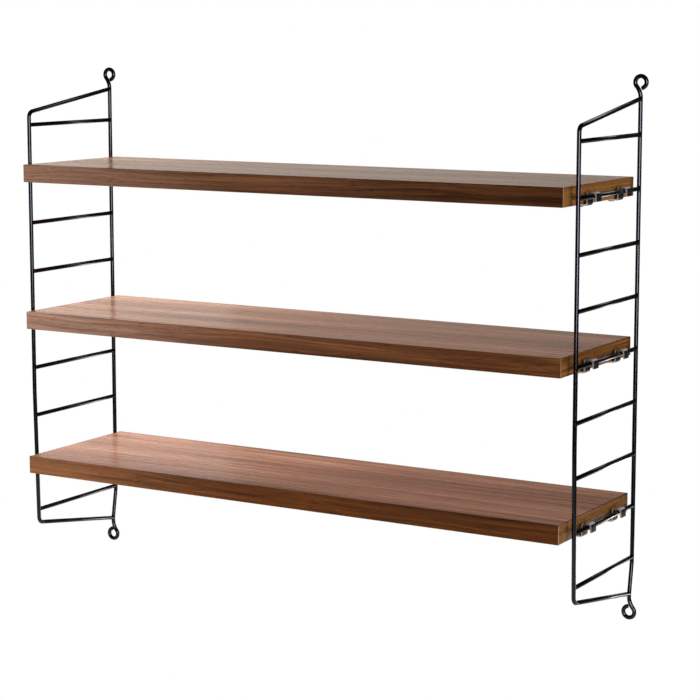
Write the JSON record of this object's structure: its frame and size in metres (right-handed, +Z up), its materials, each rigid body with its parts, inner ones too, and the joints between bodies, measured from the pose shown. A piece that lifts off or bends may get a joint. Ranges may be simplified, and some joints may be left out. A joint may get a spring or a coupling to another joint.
{
  "type": "wall shelf",
  "caption": "Wall shelf of black wire ladder panels with screw eyes, and brown wood boards that hang on the rungs by stamped hook clips and lift off.",
  "frame": {"origin": "midway between the centres of the two upper screw eyes, in the plane of the rear wires", "axes": "+X along the boards to the right as seen from the room, +Y into the wall, +Z up"},
  "size_m": [0.6058, 0.1505, 0.4997],
  "materials": {
    "black_wire": "smooth black powder coat, semi-gloss",
    "brown_veneer": "brown straight-grained wood, satin lacquer",
    "edge_band": "brown wood edge band, satin lacquer",
    "particle_board": "raw particle board, hidden inside the board",
    "clip_steel": "stamped black enamelled sheet with bare bright cut edges",
    "screw_steel": "zinc plated"
  },
  "bodies": {
    "ladders": {"left_bottom_arm": "black_wire", "left_front_bow": "black_wire", "left_rear_upright": "black_wire", "left_rung_1": "black_wire", "left_rung_2": "black_wire", "left_rung_3": "black_wire", "left_rung_4": "black_wire", "left_rung_5": "black_wire", "left_rung_6": "black_wire", "left_rung_7": "black_wire", "left_rung_8": "black_wire", "left_rung_9": "black_wire", "right_bottom_arm": "black_wire", "right_front_bow": "black_wire", "right_rear_upright": "black_wire", "right_rung_1": "black_wire", "right_rung_2": "black_wire", "right_rung_3": "black_wire", "right_rung_4": "black_wire", "right_rung_5": "black_wire", "right_rung_6": "black_wire", "right_rung_7": "black_wire", "right_rung_8": "black_wire", "right_rung_9": "black_wire"},
    "upper_shelf": {"upper_left_front_clip": "clip_steel", "upper_left_rear_clip": "clip_steel", "upper_right_front_clip": "clip_steel", "upper_right_rear_clip": "clip_steel", "upper_shelf_bottom_veneer": "brown_veneer", "upper_shelf_clip_screws": "screw_steel", "upper_shelf_core": "particle_board", "upper_shelf_front_edge": "edge_band", "upper_shelf_left_edge": "edge_band", "upper_shelf_rear_edge": "edge_band", "upper_shelf_right_edge": "edge_band", "upper_shelf_top_veneer": "brown_veneer"},
    "middle_shelf": {"middle_left_front_clip": "clip_steel", "middle_left_rear_clip": "clip_steel", "middle_right_front_clip": "clip_steel", "middle_right_rear_clip": "clip_steel", "middle_shelf_bottom_veneer": "brown_veneer", "middle_shelf_clip_screws": "screw_steel", "middle_shelf_core": "particle_board", "middle_shelf_front_edge": "edge_band", "middle_shelf_left_edge": "edge_band", "middle_shelf_rear_edge": "edge_band", "middle_shelf_right_edge": "edge_band", "middle_shelf_top_veneer": "brown_veneer"},
    "lower_shelf": {"lower_left_front_clip": "clip_steel", "lower_left_rear_clip": "clip_steel", "lower_right_front_clip": "clip_steel", "lower_right_rear_clip": "clip_steel", "lower_shelf_bottom_veneer": "brown_veneer", "lower_shelf_clip_screws": "screw_steel", "lower_shelf_core": "particle_board", "lower_shelf_front_edge": "edge_band", "lower_shelf_left_edge": "edge_band", "lower_shelf_rear_edge": "edge_band", "lower_shelf_right_edge": "edge_band", "lower_shelf_top_veneer": "brown_veneer"}
  },
  "joints": [
    {"name": "upper_shelf_lift", "type": "slide", "parent": "ladders", "child": "upper_shelf", "axis": [0, 0, 1], "range_m": [0, 0.04]},
    {"name": "middle_shelf_lift", "type": "slide", "parent": "ladders", "child": "middle_shelf", "axis": [0, 0, 1], "range_m": [0, 0.04]},
    {"name": "lower_shelf_lift", "type": "slide", "parent": "ladders", "child": "lower_shelf", "axis": [0, 0, 1], "range_m": [0, 0.04]}
  ]
}
